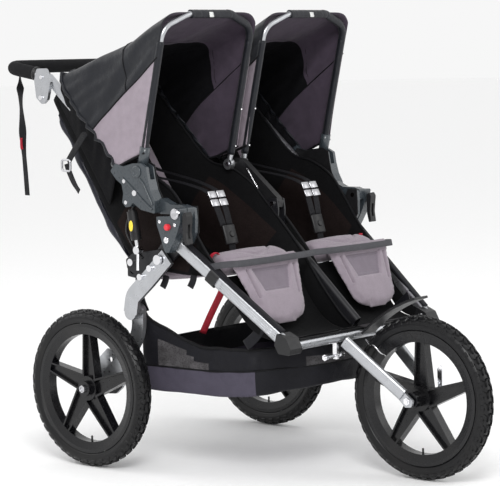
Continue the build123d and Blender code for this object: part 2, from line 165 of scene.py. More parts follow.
def loft(name, rings, mat, closed=False):
    """A form through rings of points: closed on itself, or capped at both ends."""
    count, sides = len(rings), len(rings[0])
    faces = []
    for i in range(count if closed else count - 1):
        j = (i + 1) % count
        for k in range(sides):
            m = (k + 1) % sides
            faces.append((i * sides + k, i * sides + m, j * sides + m, j * sides + k))
    if not closed:
        faces.append(tuple(reversed(range(sides))))
        faces.append(tuple((count - 1) * sides + k for k in range(sides)))
    return mesh_piece(name, [p for ring in rings for p in ring], faces, mat)


def sweep(name, path, section, mat, across=None, closed=False, shape=None):
    """A section of (across, normal) offsets in metres carried along a path of points."""
    count = len(path)
    rings, side = [], None
    for i, here in enumerate(path):
        before = path[i - 1] if closed or i else here
        after = path[(i + 1) % count] if closed or i + 1 < count else here
        tangent = (after - before).normalized()
        wanted = Vector(across) if across else (side or tangent.orthogonal())
        side = (wanted - tangent * wanted.dot(tangent)).normalized()
        normal = tangent.cross(side)
        grow = shape(i / (count - 1)) if shape else 1.0
        rings.append([here + side * (a * grow) + normal * (b * grow) for a, b in section])
    return loft(name, rings, mat, closed)


def circle(radius, sides=12, flat=1.0):
    turns = [2 * math.pi * k / sides for k in range(sides)]
    return [(radius * math.cos(t), radius * flat * math.sin(t)) for t in turns]


def flat_section(width, thickness):
    w, t = width / 2, thickness / 2
    return [(-w, -t * 0.3), (-w + t, -t), (w - t, -t), (w, -t * 0.3),
            (w, t * 0.3), (w - t, t), (-w + t, t), (-w, t * 0.3)]


def tube(name, path, radius, mat, sides=12, flat=1.0, shape=None, closed=False):
    return sweep(name, path, circle(radius, sides, flat), mat, closed=closed, shape=shape)


def strap(name, path, width, thickness, mat, across=(1, 0, 0)):
    return sweep(name, path, flat_section(width, thickness), mat, across=across)


def disc(name, centre, axis, profile, mat, sides=28):
    """A turned piece: (distance along the axis, radius) pairs in metres, closed at both ends."""
    axis = Vector(axis).normalized()
    side = axis.orthogonal().normalized()
    other = axis.cross(side)
    rings = [[centre + axis * distance + side * a + other * b for a, b in circle(radius, sides)]
             for distance, radius in profile]
    return rounded(loft(name, rings, mat), 0.0008)


def riding_strap(name, side, route, size, mat, across=(1, 0, 0), body="lower_frame", steps=5, slot=None,
                 replaces=()):
    """A strap of (width, thickness) through a right-hand route, mirrored to its side."""
    piece = strap(name, flip(curve_through(points(*route), steps), side), *size, mat, across=across)
    return finish_off(piece, body, slot, replaces)


def riding_tube(name, side, route, radius, mat, body="lower_frame", steps=6):
    """A thin tube through a right-hand route, mirrored to its side."""
    return finish_off(tube(name, flip(curve_through(points(*route), steps), side), radius, mat, 8), body)


def riding_disc(name, side, place, profile, mat, body, axis=None, sides=28):
    """A turned piece at a right-hand place, mirrored to its side; it faces outwards without an axis."""
    x, y, z = place
    return finish_off(disc(name, at(x * side, y, z), axis or (-side, 0, 0), profile, mat, sides), body)


def grid(name, rows, mats, pick=None):
    """A sheet of quads through rows of points."""
    across = len(rows[0])
    verts = [p for row in rows for p in row]
    faces, picks = [], []
    for i in range(len(rows) - 1):
        for j in range(across - 1):
            a = i * across + j
            faces.append((a, a + 1, a + across + 1, a + across))
            picks.append(pick(i, j) if pick else 0)
    return mesh_piece(name, verts, faces, mats, picks)


def move_vertices(piece, mover):
    """Move each vertex along its normal by mover(point) metres."""
    mesh = piece.data
    normals = [v.normal.copy() for v in mesh.vertices]
    for vertex, normal in zip(mesh.vertices, normals):
        vertex.co += normal * mover(vertex.co)
    mesh.update()
    return piece


def creases(scale, size, seed=0.0):
    """Soft wrinkles for move_vertices: noise of a given scale (per metre) and height."""
    return lambda p: size * noise.noise(Vector((p.x * scale + seed, p.y * scale, p.z * scale)))


def mirrored(piece, name):
    """A copy of a piece on the stroller's left-hand side."""
    mesh = piece.data.copy()
    mesh.transform(Matrix.Scale(-1, 4, Vector((1, 0, 0))))
    mesh.flip_normals()
    copy = bpy.data.objects.new(name, mesh)
    bpy.context.scene.collection.objects.link(copy)
    return copy


def bump_at(distance, width):
    """A smooth ridge or groove: 1 on the line, 0 at a width away."""
    share = max(0.0, 1 - abs(distance) / width)
    return share * share * (3 - 2 * share)


def inflate(piece, voxel, pressure, cap):
    """Stuff a closed form: remesh, blow it up as cloth, keep every point within the cap."""
    modifier = piece.modifiers.new("remesh", "REMESH")
    modifier.mode = "VOXEL"
    modifier.voxel_size = voxel
    modifier.use_smooth_shade = True
    bake(piece)
    rest = [v.co.copy() for v in piece.data.vertices]
    cloth = piece.modifiers.new("cloth", "CLOTH")
    cloth.settings.quality = 4
    cloth.settings.use_pressure = True
    cloth.settings.uniform_pressure_force = pressure
    cloth.settings.effector_weights.gravity = 0
    cloth.point_cache.frame_start = 1
    cloth.point_cache.frame_end = 20
    for step in range(1, 21):
        bpy.context.scene.frame_set(step)
    graph = bpy.context.evaluated_depsgraph_get()
    blown = [v.co.copy() for v in piece.evaluated_get(graph).data.vertices]
    piece.modifiers.clear()
    for vertex, start, end in zip(piece.data.vertices, rest, blown):
        step = end - start
        vertex.co = start + step * min(1.0, cap / max(step.length, 1e-9))
    bpy.context.scene.frame_set(1)
    smoothing = piece.modifiers.new("smooth", "SMOOTH")
    smoothing.iterations = 4
    bake(piece)
    refine(piece)
    piece.data.polygons.foreach_set("use_smooth", [True] * len(piece.data.polygons))
    return piece


# ---- materials ----
GRAIN = 40.0                            # noise scale of every material's mottling


def material(name, colour, rough, metal=0.0, vary=0.12, weave=0.0, weave_depth=0.3, wrinkle=0.0,
             wrinkle_scale=18.0, sheen=0.0, coat=0.0, fine=600.0, fine_depth=0.0, brushed=0.0, dust=0.0,
             mesh_holes=0.0, specular=0.5):
    """A procedural material: mottled colour, uneven roughness, weave or grain, soft creases."""
    mat = bpy.data.materials.new(name)
    mat.use_nodes = True
    nodes, links = mat.node_tree.nodes, mat.node_tree.links
    shader = nodes["Principled BSDF"]
    for socket, value in (("Metallic", metal), ("Sheen Weight", sheen), ("Sheen Roughness", 0.45),
                          ("Coat Weight", coat), ("Coat Roughness", 0.2), ("Specular IOR Level", specular)):
        shader.inputs[socket].default_value = value
    place = nodes.new("ShaderNodeTexCoord").outputs["Object"]

    def add(kind, inputs):
        """A node whose inputs are set to values or linked to other nodes' outputs."""
        node = nodes.new("ShaderNode" + kind)
        for socket, value in inputs.items():
            if isinstance(value, bpy.types.NodeSocket):
                links.new(value, node.inputs[socket])
            else:
                node.inputs[socket].default_value = value
        return node

    def noise_node(scale, detail=4.0):
        return add("TexNoise", {"Vector": place, "Scale": scale, "Detail": detail}).outputs["Fac"]

    def ranged(value, low, high, source_low=0.3, source_high=0.7):
        return add("MapRange", {"Value": value, "From Min": source_low, "From Max": source_high,
                                "To Min": low, "To Max": high}).outputs["Result"]

    def mixed(factor, a, b):
        node = nodes.new("ShaderNodeMix")
        node.data_type = "RGBA"
        for socket, value in (("Factor", factor), ("A", a), ("B", b)):
            target = [s for s in node.inputs if s.name == socket and s.enabled][0]
            if isinstance(value, tuple):
                target.default_value = (*value, 1.0)
            else:
                links.new(value, target)
        return [s for s in node.outputs if s.enabled][0]

    def bump(height, strength, distance, onto=None):
        inputs = {"Height": height, "Strength": strength, "Distance": distance}
        return add("Bump", {**inputs, "Normal": onto} if onto else inputs).outputs["Normal"]

    light = tuple(min(1.0, c * (1 + vary)) for c in colour)
    dark = tuple(c * (1 - vary) for c in colour)
    base = mixed(ranged(noise_node(GRAIN), 0, 1), dark, light)
    normal = None
    if weave:
        threads = []
        for direction in ("DIAGONAL", "Z"):
            wave = add("TexWave", {"Vector": place, "Scale": weave, "Distortion": 0.4, "Detail": 1.0})
            wave.bands_direction = direction
            threads.append(wave.outputs["Fac"])
        crossing = add("Math", dict(enumerate(threads)))
        crossing.operation = "MULTIPLY"
        base = mixed(ranged(crossing.outputs[0], 0.0, 0.35, 0.0, 1.0), base, light)
        normal = bump(crossing.outputs[0], weave_depth, 0.0004)
    if mesh_holes:
        holes = add("TexVoronoi", {"Vector": place, "Scale": mesh_holes}).outputs["Distance"]
        base = mixed(ranged(holes, 1.0, 0.0, 0.05, 0.45), base, tuple(c * 0.15 for c in colour))
        normal = bump(holes, 0.6, 0.0005, normal)
    if fine_depth:
        normal = bump(noise_node(fine, 2.0), fine_depth, 0.0003, normal)
    if brushed:
        squeezed = add("Mapping", {"Vector": place, "Scale": (1.0, 0.06, 0.06)}).outputs["Vector"]
        streaks = add("TexNoise", {"Vector": squeezed, "Scale": 260.0}).outputs["Fac"]
        normal = bump(streaks, brushed, 0.0002, normal)
    if wrinkle:
        normal = bump(noise_node(wrinkle_scale, 3.0), wrinkle, 0.006, normal)
    if dust:
        grime = noise_node(9.0, 6.0)
        base = mixed(ranged(grime, 0.0, dust, 0.5, 0.75), base, (0.30, 0.27, 0.23))
    edge = nodes.new("ShaderNodeNewGeometry").outputs["Pointiness"]
    base = mixed(ranged(edge, 0.0, 0.2 if not metal else 0.1, 0.52, 0.62), base, light)
    links.new(base, shader.inputs["Base Color"])
    links.new(ranged(noise_node(GRAIN * 2.3), max(0.04, rough - 0.07), min(1.0, rough + 0.07)),
              shader.inputs["Roughness"])
    if normal:
        links.new(normal, shader.inputs["Normal"])
    return mat


BLACK_CLOTH = material("black_pack_cloth", (0.0055, 0.0055, 0.0080), 0.55, weave=520, sheen=0.04,
                       wrinkle=0.6, specular=0.16)
CANOPY_CLOTH = material("navy_canopy_cloth", (0.0060, 0.0070, 0.0105), 0.46, weave=520, sheen=0.05,
                        wrinkle=0.8, specular=0.3)
REAR_CLOTH = material("shiny_rear_cloth", (0.0060, 0.0065, 0.0140), 0.34, weave=520, wrinkle=0.9,
                      coat=0.06, specular=0.35)
MAUVE = material("mauve_twill", (0.250, 0.212, 0.246), 0.82, weave=430, weave_depth=0.5, sheen=0.3,
                 wrinkle=0.35, vary=0.07, specular=0.2)
BAND_CLOTH = material("dark_slate_cloth", (0.062, 0.056, 0.078), 0.75, weave=430, weave_depth=0.5,
                      wrinkle=0.5,
                      vary=0.07, specular=0.15)
# painted shade: a darker copy of the mauve for the faces inside the calf flap's sunk panel, standing in for the
# shade in that recess
MAUVE_SHADE = material("recess_shade_mauve_twill", (0.165, 0.140, 0.168), 0.85, weave=430, weave_depth=0.5, sheen=0.2,
                       wrinkle=0.35, vary=0.07, specular=0.2)
MAUVE_HOOD = material("mauve_hood_cloth", (0.262, 0.222, 0.256), 0.72, weave=430, weave_depth=0.4, sheen=0.2,
                      wrinkle=1.0, wrinkle_scale=15.0, vary=0.08, specular=0.25)
MAUVE_LINING = material("dark_mauve_lining", (0.055, 0.042, 0.060), 0.85, weave=430, wrinkle=0.5,
                        sheen=0.1, specular=0.15)
BLACK_LINING = material("black_lining", (0.005, 0.005, 0.006), 0.9, weave=430, wrinkle=0.5, specular=0.08)
SEAT_CLOTH = material("black_seat_cloth", (0.0045, 0.0045, 0.0050), 0.8, weave=430, wrinkle=0.5,
                      sheen=0.03, specular=0.08)
SEAT_MESH = material("seat_side_mesh", (0.013, 0.0085, 0.0080), 0.85, mesh_holes=420, wrinkle=0.4,
                     specular=0.1)
BASKET_MESH = material("basket_net", (0.060, 0.057, 0.060), 0.8, mesh_holes=260, wrinkle=0.5, vary=0.4,
                       specular=0.15)
WEBBING = material("black_webbing", (0.010, 0.010, 0.012), 0.62, weave=650, weave_depth=0.7, specular=0.16)
GREY_WEBBING = material("grey_webbing", (0.045, 0.045, 0.052), 0.65, weave=650, weave_depth=0.7)
RED_WEBBING = material("red_webbing", (0.42, 0.012, 0.030), 0.6, weave=650, weave_depth=0.7)
BINDING = material("black_binding", (0.006, 0.006, 0.007), 0.6, weave=700, weave_depth=0.6, specular=0.14)
RUBBER = material("tyre_rubber", (0.0035, 0.0035, 0.0042), 0.38, fine=900, fine_depth=0.4, dust=0.02,
                  specular=0.3)
TUBE_RUBBER = material("inner_tube_rubber", (0.015, 0.015, 0.015), 0.7, fine=900, fine_depth=0.3)
FOAM = material("grip_foam", (0.010, 0.010, 0.011), 0.88, fine=1400, fine_depth=0.8, specular=0.15)
WHEEL = material("moulded_wheel", (0.0035, 0.0035, 0.0045), 0.24, fine=1100, fine_depth=0.3, dust=0.02,
                 specular=0.38)
BLACK_PLASTIC = material("black_plastic", (0.010, 0.010, 0.011), 0.42, fine=1200, fine_depth=0.3,
                         specular=0.35)
GREY_PLASTIC = material("cool_grey_plastic", (0.034, 0.042, 0.049), 0.30, coat=0.25, fine=1200,
                        fine_depth=0.25)
RED_PLASTIC = material("red_plastic", (0.62, 0.030, 0.045), 0.3, fine=1200, fine_depth=0.1)
SILVER = material("satin_silver", (0.46, 0.47, 0.49), 0.32, metal=0.9, vary=0.05, brushed=0.12)
CHROME = material("bright_chrome", (0.80, 0.80, 0.82), 0.12, metal=1.0, vary=0.03, fine=300, fine_depth=0.05)
STEEL = material("plated_steel", (0.52, 0.52, 0.54), 0.3, metal=1.0, vary=0.06, brushed=0.15)
BLACK_METAL = material("black_powder_coat", (0.009, 0.009, 0.011), 0.38, fine=1500, fine_depth=0.3,
                       specular=0.35)
LABEL = material("plain_yellow_label", (0.80, 0.62, 0.05), 0.35, vary=0.04, fine=500, fine_depth=0.05)
REFLECTOR = material("silver_patch", (0.62, 0.63, 0.62), 0.5, vary=0.1, mesh_holes=500)

SLOT_MATERIALS = {
    "tyre_rubber": RUBBER, "wheel_plastic": WHEEL, "tube_rubber": TUBE_RUBBER, "silver_tube": SILVER,
    "black_tube": BLACK_METAL, "grey_plastic": GREY_PLASTIC, "black_plastic": BLACK_PLASTIC,
    "chrome": CHROME, "steel": STEEL, "black_fabric": BLACK_CLOTH, "mauve_fabric": MAUVE,
    "mesh_fabric": BASKET_MESH, "webbing": WEBBING, "red_webbing": RED_WEBBING,
    "red_plastic": RED_PLASTIC, "foam": FOAM,
}
NODE_MATERIALS = {"axle_plates": SILVER}
SLOT_NAMES = {mat.name: slot for slot, mat in SLOT_MATERIALS.items()}
SLOT_NAMES.update({mat.name: "webbing" for mat in (GREY_WEBBING, BINDING)})


def dress_cad_nodes():
    """Give every CAD node the detailed material of its slot."""
    for part in frame["record"]["subparts"]:
        node = NODES[part["node"]]
        for place in node.material_slots:
            place.link = "OBJECT"
            place.material = NODE_MATERIALS.get(part["node"], SLOT_MATERIALS[part["material_slot"]])


# ---- camera, light and floor ----
def make_camera():
    """Seen from the front right, a little above the wheels, as far off as the scene needs."""
    azimuth, elevation, roll = math.radians(-49.64), math.radians(5.5), math.radians(-1.0)
    back = Vector((math.sin(azimuth) * math.cos(elevation),
                   -math.cos(azimuth) * math.cos(elevation), math.sin(elevation)))
    right = Vector((math.cos(azimuth), math.sin(azimuth), 0))
    up = back.cross(right)
    right, up = (right * math.cos(roll) + up * math.sin(roll),
                 up * math.cos(roll) - right * math.sin(roll))
    target = at(0, 0, 500) - right * 0.11501 + up * 0.05583
    data = bpy.data.cameras.new("camera")
    data.lens = 147.28
    data.sensor_width = 36.0
    data.clip_end = 60.0
    camera = bpy.data.objects.new("camera", data)
    bpy.context.scene.collection.objects.link(camera)
    rotation = Matrix((right, up, back)).transposed().to_4x4()
    camera.matrix_world = Matrix.Translation(target + back * 5.15517) @ rotation
    bpy.context.scene.camera = camera


def make_studio():
    floor = mesh_piece("floor", [(-90, -90, 0), (90, -90, 0), (90, 90, 0), (-90, 90, 0)], [(0, 1, 2, 3)],
                       material("pale_floor", (0.97, 0.97, 0.97), 0.9, vary=0.01, fine=60, fine_depth=0.02))
    world = bpy.data.worlds.new("studio")
    world.use_nodes = True
    world.node_tree.nodes["Background"].inputs["Color"].default_value = (1.0, 1.0, 1.0, 1)
    world.node_tree.nodes["Background"].inputs["Strength"].default_value = 0.93
    bpy.context.scene.world = world
    for name, place, size, power in (("key", (-3.0, -2.6, 3.2), 1.6, 120.0),
                                     ("fill", (2.8, -3.0, 2.0), 2.5, 22.0),
                                     ("rim", (-1.5, 3.2, 3.0), 2.6, 26.0)):
        data = bpy.data.lights.new(name, "AREA")
        data.size = size
        data.energy = power
        lamp = bpy.data.objects.new(name, data)
        lamp.location = place
        lamp.rotation_euler = (Vector((0, 0, 0.6)) - Vector(place)).to_track_quat("-Z", "Y").to_euler()
        bpy.context.scene.collection.objects.link(lamp)
    bpy.context.scene.view_settings.view_transform = "Standard"


# ---- wrist strap: the one free cord ----
WRIST_ROUTE = [(-270, 700, 1000), (-271, 701, 935), (-267, 699.5, 870), (-265, 701, 805),
               (-260, 700, 740), (-256, 699.5, 670)]


def make_wrist_strap():
    data = bpy.data.curves.new("wrist_strap_webbing", "CURVE")
    data.dimensions = "3D"
    data.resolution_u = 12
    data.twist_mode = "Z_UP"
    data.extrude = 0.0092
    data.bevel_depth = 0.0008
    spline = data.splines.new("NURBS")
    spline.points.add(len(WRIST_ROUTE) - 1)
    for point, place in zip(spline.points, points(*WRIST_ROUTE)):
        point.co = (*place, 1.0)
        point.tilt = math.pi / 2
    spline.order_u = 3
    spline.use_endpoint_u = True
    data.materials.append(WEBBING)
    webbing = bpy.data.objects.new("wrist_strap_webbing", data)
    bpy.context.scene.collection.objects.link(webbing)
    finish_off(webbing, "upper_frame", "webbing", ["wrist_strap"])
    tab = riding_strap("wrist_strap_tab", 1, [(-265, 701.8, 792), (-265.4, 702.8, 800), (-265.6, 702.8, 812),
                                              (-266, 701.4, 822)], (0.017, 0.0014), RED_WEBBING,
                       body="upper_frame", steps=4)
    at(*WRIST_ROUTE[0])


# ---- tyres ----
BEAD_R, CROWN_RISE, CROWN_HALF = 0.1792, 0.0160, 0.0225     # metres, of the carcass's rounded crown
TREAD_PITCHES = 44


def tyre_point(turn, lean, lift):
    """A point on the tyre's outside, lean 0 on the crown and +-1 at the shoulders' edge."""
    angle = lean * math.radians(82)
    out = BEAD_R + (CROWN_RISE + lift) * math.cos(angle)
    return (CROWN_HALF + lift * 0.25) * math.sin(angle), out * math.cos(turn), out * math.sin(turn)


def make_tyre(name, centre, body, node):
    """A tyre with a smooth carcass, sidewall ribs and rows of tread blocks."""
    verts, faces = [], []
    around, ribs = 120, [(-0.0120, 0.1650), (-0.0175, 0.1652), (-0.0198, 0.1675), (-0.0212, 0.1700),
                         (-0.0209, 0.1712), (-0.0222, 0.1728), (-0.0228, 0.1790)]
    crown = [(CROWN_HALF * math.sin(a), BEAD_R + CROWN_RISE * math.cos(a))
             for a in [math.radians(-80 + 16 * k) for k in range(11)]]
    profile = ribs + crown + [(-x, r) for x, r in reversed(ribs)]
    for k in range(around):
        turn = 2 * math.pi * k / around
        verts += [(x, r * math.cos(turn), r * math.sin(turn)) for x, r in profile]
    width = len(profile)
    for k in range(around):
        nxt = (k + 1) % around
        for j in range(width):
            m = (j + 1) % width
            faces.append((k * width + j, nxt * width + j, nxt * width + m, k * width + m))

    def block(turn, lean, half_turn, half_lean, skew):
        base = len(verts)
        for lift, shrink in ((-0.0008, 1.0), (0.0045, 0.78)):
            for a, b in ((-1, -1), (1, -1), (1, 1), (-1, 1)):
                verts.append(tyre_point(turn + a * half_turn * shrink + b * skew,
                                        lean + b * half_lean * shrink, lift))
        faces.append(tuple(base + 4 + k for k in range(4)))
        for k in range(4):
            m = (k + 1) % 4
            faces.append((base + k, base + m, base + 4 + m, base + 4 + k))

    half = math.pi / TREAD_PITCHES
    for k in range(TREAD_PITCHES):
        turn = 2 * half * k
        for side in (-1, 1):
            block(turn, 0.17 * side, half * 0.56, 0.12, half * 0.24 * side)
            block(turn + half, 0.50 * side, half * 0.58, 0.14, -half * 0.22 * side)
            block(turn + half * 0.2, 0.86 * side, half * 0.50, 0.14, 0)
    piece = mesh_piece(name, verts, faces, RUBBER)
    piece.data.polygons.foreach_set("use_smooth", [i < around * width for i in range(len(faces))])
    piece.location = centre
    return finish_off(piece, body, "tyre_rubber", [node])


def make_wheels():
    for word, x, (y, z) in (("front", 0, FRONT_AXLE), ("rear_right", -TRACK_X, REAR_AXLE),
                            ("rear_left", TRACK_X, REAR_AXLE)):
        make_tyre(f"knobbly_tyre_{word}", at(x, y, z), f"wheel_{word}_body", f"tyre_{word}")


# ---- canopies ----
OUTER_X, INNER_X = -364.6, -17.6
HOOD_FRONT = [(171, 798), (160, 862), (146, 925), (131, 990), (117, 1052), (104, 1106), (99, 1136)]
HOOD_HEM = [(262, 763), (306, 806), (356, 857), (405, 908), (440, 950), (457, 975), (462, 994)]
SEAM_FRONT, SEAM_REAR = 0.68, 0.40      # shares of the side where the mauve panel ends
ROOF_SHARE = 0.42                       # share of the hood, from the bow, with a mauve-lined roof
HOOD_X = -191.0                         # middle of the right-hand hood


def hood_side(u, share, x):
    """A point on a hood's side: u from bow to hem, share from the lower edge to the roof."""
    front = along([at(x, *p) for p in HOOD_FRONT], share)
    rear = along([at(x, *p) for p in HOOD_HEM], share)
    return front.lerp(rear, u)


def hood_rows():
    """Cross-sections of the hood from bow to hem, with the seam line on a fixed row."""
    steps, low, high, roof = 30, 9, 12, 22
    rows = []
    for i in range(steps + 1):
        u = i / steps
        seam = SEAM_FRONT + (SEAM_REAR - SEAM_FRONT) * u
        shares = [seam * k / low for k in range(low)] + [seam + (0.93 - seam) * k / high
                                                         for k in range(high + 1)]
        outer = [hood_side(u, s, OUTER_X) for s in shares]
        inner = [hood_side(u, s, INNER_X) for s in shares]
        top_outer, top_inner = hood_side(u, 1.0, OUTER_X), hood_side(u, 1.0, INNER_X)
        across = []
        for k in range(1, roof):
            t = k / roof
            corner = 0.16
            edge = min(t, 1 - t)
            drop = (1 - math.sqrt(max(0.0, 1 - (1 - min(1.0, edge / corner)) ** 2)))
            p = top_outer.lerp(top_inner, t)
            start = outer[-1].lerp(inner[-1], t)
            across.append(p.lerp(start, drop))
        rows.append(outer + across + list(reversed(inner)))
    return rows, low


def gather(u, j, count):
    """How far the cloth stands off its mean surface: folds that grow towards the hem."""
    fold = math.sin(j * 2.1 + 3.0 * noise.noise(Vector((j * 0.4, u * 2.0, 0.0))))
    edge = min(j, count - 1 - j) / (count / 2)
    pull = -0.012 * math.sin(math.pi * u) * min(1.0, edge * 2.2)
    middle = math.sin(math.pi * min(1.0, u * 1.1)) * min(1.0, edge * 5)
    soft = 0.010 * noise.noise(Vector((j * 0.20 + u * 2.4, u * 1.9, 4.0))) * middle
    soft += 0.004 * noise.noise(Vector((j * 0.42 + u * 3.0, u * 3.4, 9.0))) * middle
    return pull + soft + 0.0068 * fold * u ** 3.5


def make_hood(word, side):
    """One hood with its mauve side panels, linings, seams and bindings."""
    rows, low = hood_rows()
    steps, count = len(rows) - 1, len(rows[0])
    middle = at(HOOD_X, 300, 880)
    shaped = []
    for i, row in enumerate(rows):
        new = []
        for j, p in enumerate(row):
            off = p - middle
            off.y = 0
            new.append(p + off.normalized() * gather(i / steps, j, count))
        shaped.append(new)

    def pick(i, j):
        if j < low or j >= count - 1 - low:
            return 1
        return 2 if i < steps * ROOF_SHARE else 0

    mats = [CANOPY_CLOTH, MAUVE_HOOD, CANOPY_CLOTH, BLACK_LINING, MAUVE_LINING, MAUVE_LINING]
    hood = grid(f"canopy_hood_cloth_{word}", [flip(r, side) for r in shaped], mats, pick)
    if side == -1:
        hood.data.flip_normals()
    thicken(refine(hood), 0.0014, inner=3)
    finish_off(hood, None, "black_fabric", [f"canopy_hood_{word}"])
    start, end = at(HOOD_X * side, 430, 960), at(HOOD_X * side, 190, 870)
    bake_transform(hood)
    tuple(start)
    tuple(end)

    make_hood_back(word, side, shaped[-1])
    for name, path, radius, mat, slot in (
            ("seam_outer", [row[low] for row in shaped], 0.0022, BINDING, "webbing"),
            ("seam_inner", [row[-1 - low] for row in shaped], 0.0022, BINDING, "webbing"),
            ("hem_elastic", shaped[-1], 0.0042, CANOPY_CLOTH, "black_fabric"),
            ("lower_binding_outer", [row[0] for row in shaped], 0.0032, BINDING, "webbing"),
            ("lower_binding_inner", [row[-1] for row in shaped], 0.0032, BINDING, "webbing"),
            ("roof_seam", shaped[int(steps * ROOF_SHARE)][low:-low], 0.0016, BINDING, "webbing")):
        piece = tube(f"canopy_{name}_{word}", flip(path, side), radius, mat, 8)
        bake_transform(piece)
        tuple(start)
        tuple(end)


def make_hood_back(word, side, hem):
    """Black lining that closes the gap between the hood's hem and the reclined back."""
    count = len(hem)
    back_edge = [back_point(-306, s, 4) for s in (180, 260, 340, 420, 480, 508)]
    back_edge += [back_point(x, 520, 4) for x in (-290, -240, -175, -110, -60)]
    back_edge += [back_point(-44, s, 4) for s in (508, 480, 420, 340, 260, 180)]
    rows = []
    for k in range(7):
        t = k / 6
        row = []
        for j, p in enumerate(hem):
            q = along(back_edge, j / (count - 1))
            row.append(p.lerp(q, t) - Vector((0, 0, 0.006 * math.sin(math.pi * t))))
        rows.append(row)
    piece = grid(f"canopy_back_lining_{word}", [flip(r, side) for r in rows], BLACK_LINING)
    thicken(refine(piece), 0.0012)
    finish_off(piece, "upper_frame", "black_fabric")


OUTER_LEG_X, INNER_LEG_X, BOW_BEND = -355.0, -27.0, 44.0


def bow_point(x, s):
    """A point in the bow's plane: s up from its pivots."""
    return at(x, 192 - 0.2271 * s, 752 + 0.9739 * s)


def make_bow_sleeves(word, side):
    """Cloth sleeve round the bow; the metal shows at both upper corners."""
    leg = [(186, 778), (152, 923), (119, 1066)]
    wrinkled = lambda t: 1.0 + 0.06 * noise.noise(Vector((t * 21, 3.0 * side, 0)))
    leg_x, inward = (INNER_LEG_X, 1) if side == 1 else (OUTER_LEG_X, -1)
    bend_x = leg_x - inward * BOW_BEND
    corner = [bow_point(leg_x, 300)] + [
        bow_point(bend_x + inward * BOW_BEND * math.cos(math.radians(turn)),
                  326 + BOW_BEND * math.sin(math.radians(turn))) for turn in (0, 23, 46, 68)]
    corner += [bow_point(leg_x - inward * x, s) for x, s in ((74, 385), (86, 389), (100, 390))]
    for name, path in (("outer_leg", [at(OUTER_LEG_X, *p) for p in leg]),
                       ("inner_leg", [at(INNER_LEG_X, *p) for p in leg]),
                       ("top", [at(x, 103.4, 1131.8) for x in (-262, -230, -191, -152, -118)]),
                       ("corner", corner)):
        piece = tube(f"bow_sleeve_{name}_{word}", flip(curve_through(path, 16), side), 0.0118, CANOPY_CLOTH,
                     12, 0.80, shape=wrinkled)
        finish_off(piece, f"canopy_{word}", "black_fabric")
    patch = strap(f"bow_patch_{word}", flip([at(x, 93.0, 1130) for x in (-204, -197, -190)], side), 0.013,
                  0.0026, REFLECTOR, across=(0, 0.25, 1))
    finish_off(patch, f"canopy_{word}", "silver_tube")
    for k in range(2):
        riding_disc(f"bow_rivet_{word}_{k}", side, (INNER_LEG_X, 178 - 22 * k, 800 + 94 * k),
                    [(0.0070, 0.0030), (0.0098, 0.0030), (0.0105, 0.0018)], CHROME, f"canopy_{word}",
                    (0, -1, -0.2), 12)


# ---- seats ----
SEAT_X = -175.0                         # middle of the right-hand seat


def back_point(x, s, t):
    """A point of the seat back: s along it from the hinge, t forward of its middle plane."""
    up = Vector((0, math.cos(BACK_ANGLE), math.sin(BACK_ANGLE)))
    forward = Vector((0, -math.sin(BACK_ANGLE), math.cos(BACK_ANGLE)))
    return at(x, *BACK_HINGE) + (up * s + forward * t) / 1000


def pillow_ring(place, half_width, half_depth, waist, sides=28):
    """One rounded-rectangle ring; place(a, b) turns offsets into a point."""
    ring = []
    for k in range(sides):
        t = 2 * math.pi * k / sides
        c, s = math.cos(t), math.sin(t)
        a = math.copysign(abs(c) ** 0.55, c) * half_width * waist
        b = math.copysign(abs(s) ** 0.75, s) * half_depth
        ring.append(place(a, b))
    return ring


def make_back_cushion():
    """Reclined black back: centre panel between two soft bolsters, with sewn channels."""
    rings = []
    for k in range(17):
        share = k / 16
        s = 30 + 470 * share
        end = min(share, 1 - share)
        depth = 8.0 * min(1.0, 0.35 + end * 8)
        waist = 1.0 - 0.05 * max(0.0, 1 - end * 14)
        rings.append(pillow_ring(lambda a, b, s=s: back_point(SEAT_X + a, s, b), 124, depth, waist))
    piece = loft("seat_back_cushion_right", rings, SEAT_CLOTH)
    inflate(piece, 0.006, 4.0, 0.007)

    def shape(p):
        x = p.x * 1000 - SEAT_X
        s = (p - back_point(0, 0, 0)).dot(Vector((0, math.cos(BACK_ANGLE), math.sin(BACK_ANGLE)))) * 1000
        groove = -0.004 * bump_at(abs(x) - 84, 7) - 0.003 * bump_at((s - 50) % 110 - 55, 6) * (abs(x) < 80)
        bolster = 0.007 * bump_at(abs(x) - 104, 18)
        return groove + bolster

    move_vertices(piece, shape)
    paint(piece, [SEAT_CLOTH, MAUVE], lambda p: 1 if abs(p.x * 1000 - SEAT_X) > 86 else 0)
    return piece


def paint(piece, mats, pick):
    """Give faces one of several materials by their middle point."""
    piece.data.materials.clear()
    for mat in mats:
        piece.data.materials.append(mat)
    for polygon in piece.data.polygons:
        polygon.material_index = pick(polygon.center)


def make_rear_pocket():
    """The shiny cloth that closes the back, sagging into a shallow bag."""
    pocket_x = -168
    rings = []
    for k in range(15):
        share = k / 14
        s = 10 + 500 * share
        sag = math.sin(math.pi * share) ** 0.7
        lean = 10 + 26 * sag
        rings.append(pillow_ring(lambda a, b, s=s, lean=lean: back_point(pocket_x + a, s, -15 - lean / 2 + b),
                                 142, 3 + lean / 2, 0.94 + 0.06 * sag))
    piece = loft("rear_pocket_right", rings, REAR_CLOTH)
    inflate(piece, 0.008, 3.0, 0.006)
    move_vertices(piece, creases(14, 0.010, 2.0))
    return move_vertices(piece, lambda p: -0.003 * bump_at(abs(p.x * 1000 - pocket_x) - 112, 6))


PAD_PROFILE = [(236, 482), (232, 496), (150, 510), (60, 532), (14, 549), (-12, 554), (-32, 548), (-42, 532),
               (-34, 514), (0, 505), (60, 500), (150, 488)]


